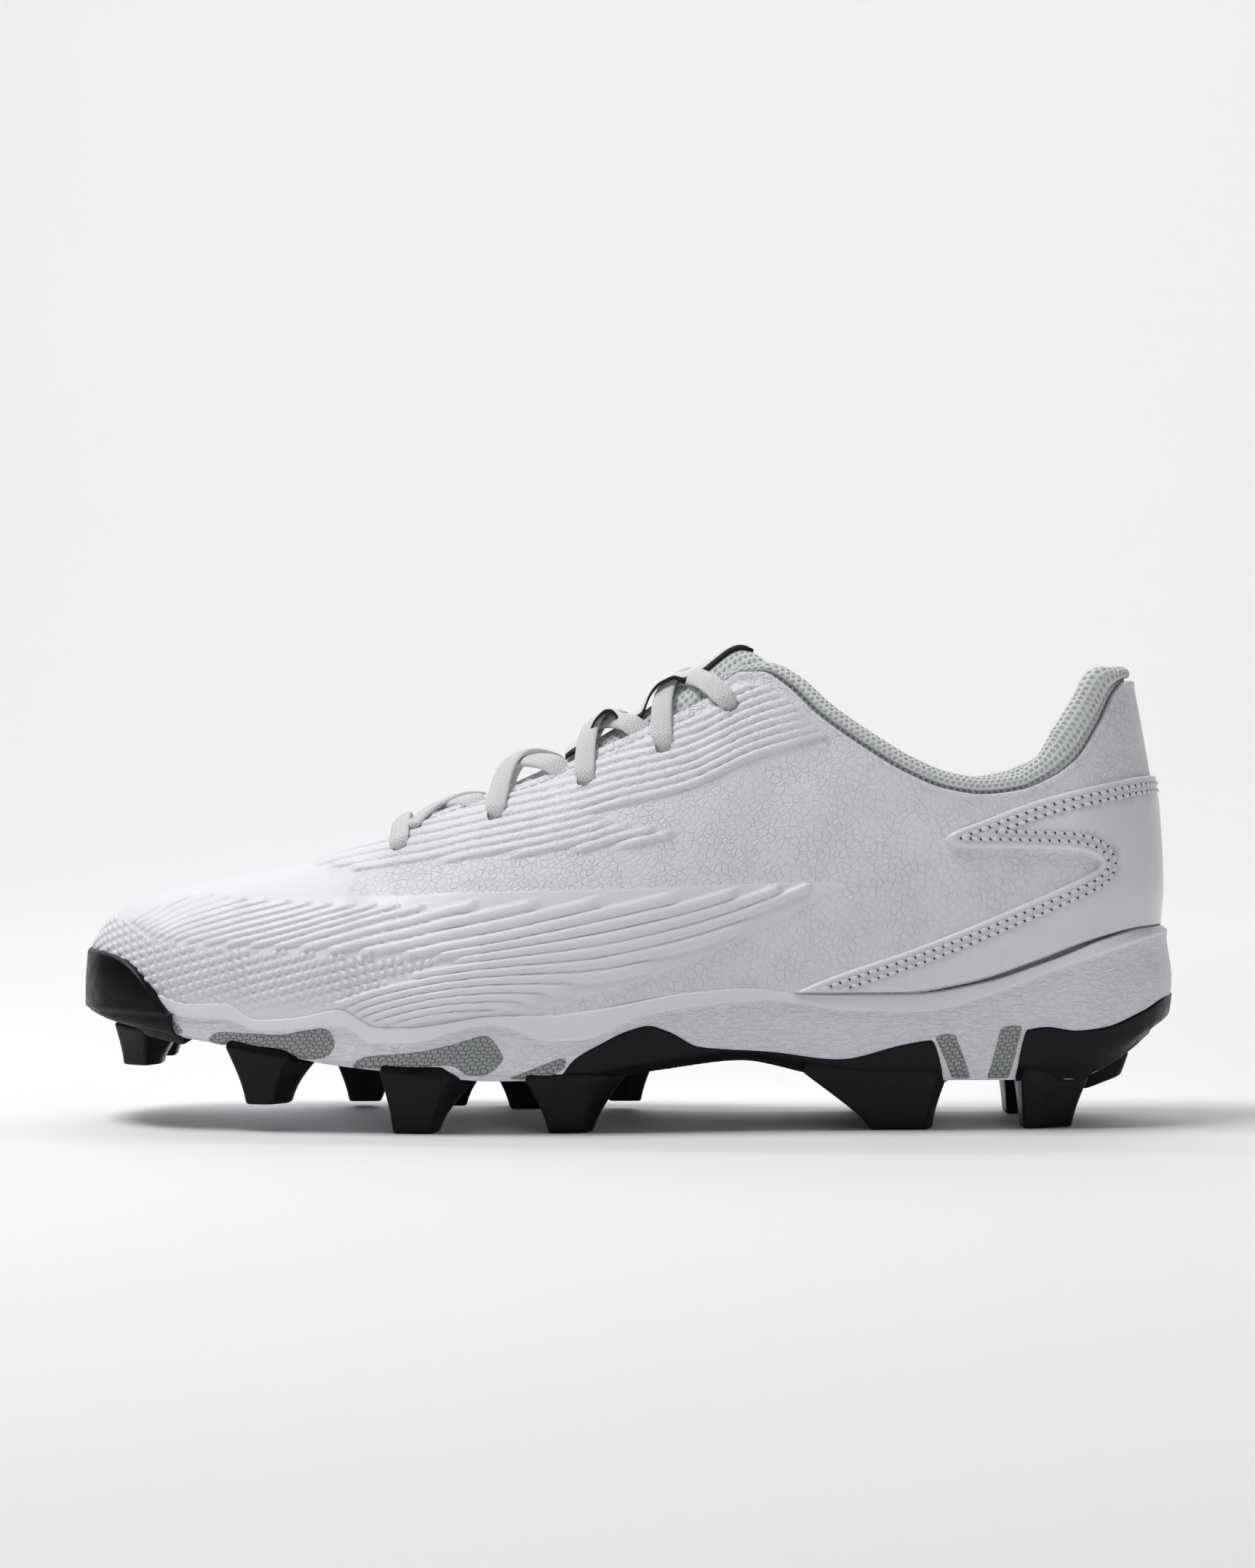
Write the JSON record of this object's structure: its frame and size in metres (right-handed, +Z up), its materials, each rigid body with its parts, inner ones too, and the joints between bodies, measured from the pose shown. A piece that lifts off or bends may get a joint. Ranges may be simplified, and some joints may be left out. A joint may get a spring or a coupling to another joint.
{
  "type": "baseball cleat",
  "caption": "Low-cut left baseball cleat: white ribbed upper, padded mesh collar, laced tongue and a moulded white, grey and black sole with studs.",
  "frame": {"origin": "centre of the shoe's footprint on the ground plane under the studs", "axes": "+X from toe to heel, +Y to the inner side of the left foot, +Z up; millimetre solids, metre record"},
  "size_m": [0.2983, 0.1018, 0.1362],
  "materials": {
    "upper_leather": "satin white synthetic leather",
    "counter_film": "smooth satin white film",
    "mesh": "matt light grey mesh",
    "strip": "plain white webbing",
    "lace": "woven light grey",
    "insole_foam": "matt cloth over foam",
    "sole_white": "satin moulded white",
    "sole_black": "satin moulded black",
    "sole_grey": "satin moulded grey"
  },
  "bodies": {
    "root": {"upper": "upper_leather", "heel_counter": "counter_film", "collar": "mesh", "tongue": "mesh", "tongue_strip": "strip", "lace_front": "lace", "lace_low": "lace", "lace_middle": "lace", "lace_top": "lace", "insole": "insole_foam", "sole": "sole_white", "toe_bumper": "sole_black", "arch_plate": "sole_black", "heel_plate": "sole_black", "stud_outer_front": "sole_black", "stud_outer_ball": "sole_black", "stud_inner_front": "sole_black", "stud_inner_ball": "sole_black", "stud_centre": "sole_black", "inlay_inner_ball": "sole_grey", "inlay_inner_front": "sole_grey", "inlay_inner_wedge_back": "sole_grey", "inlay_inner_wedge_front": "sole_grey", "inlay_outer_ball": "sole_grey", "inlay_outer_front": "sole_grey", "inlay_outer_leaf": "sole_grey", "inlay_outer_toe": "sole_grey", "inlay_outer_wedge_back": "sole_grey", "inlay_outer_wedge_front": "sole_grey"}
  },
  "joints": []
}
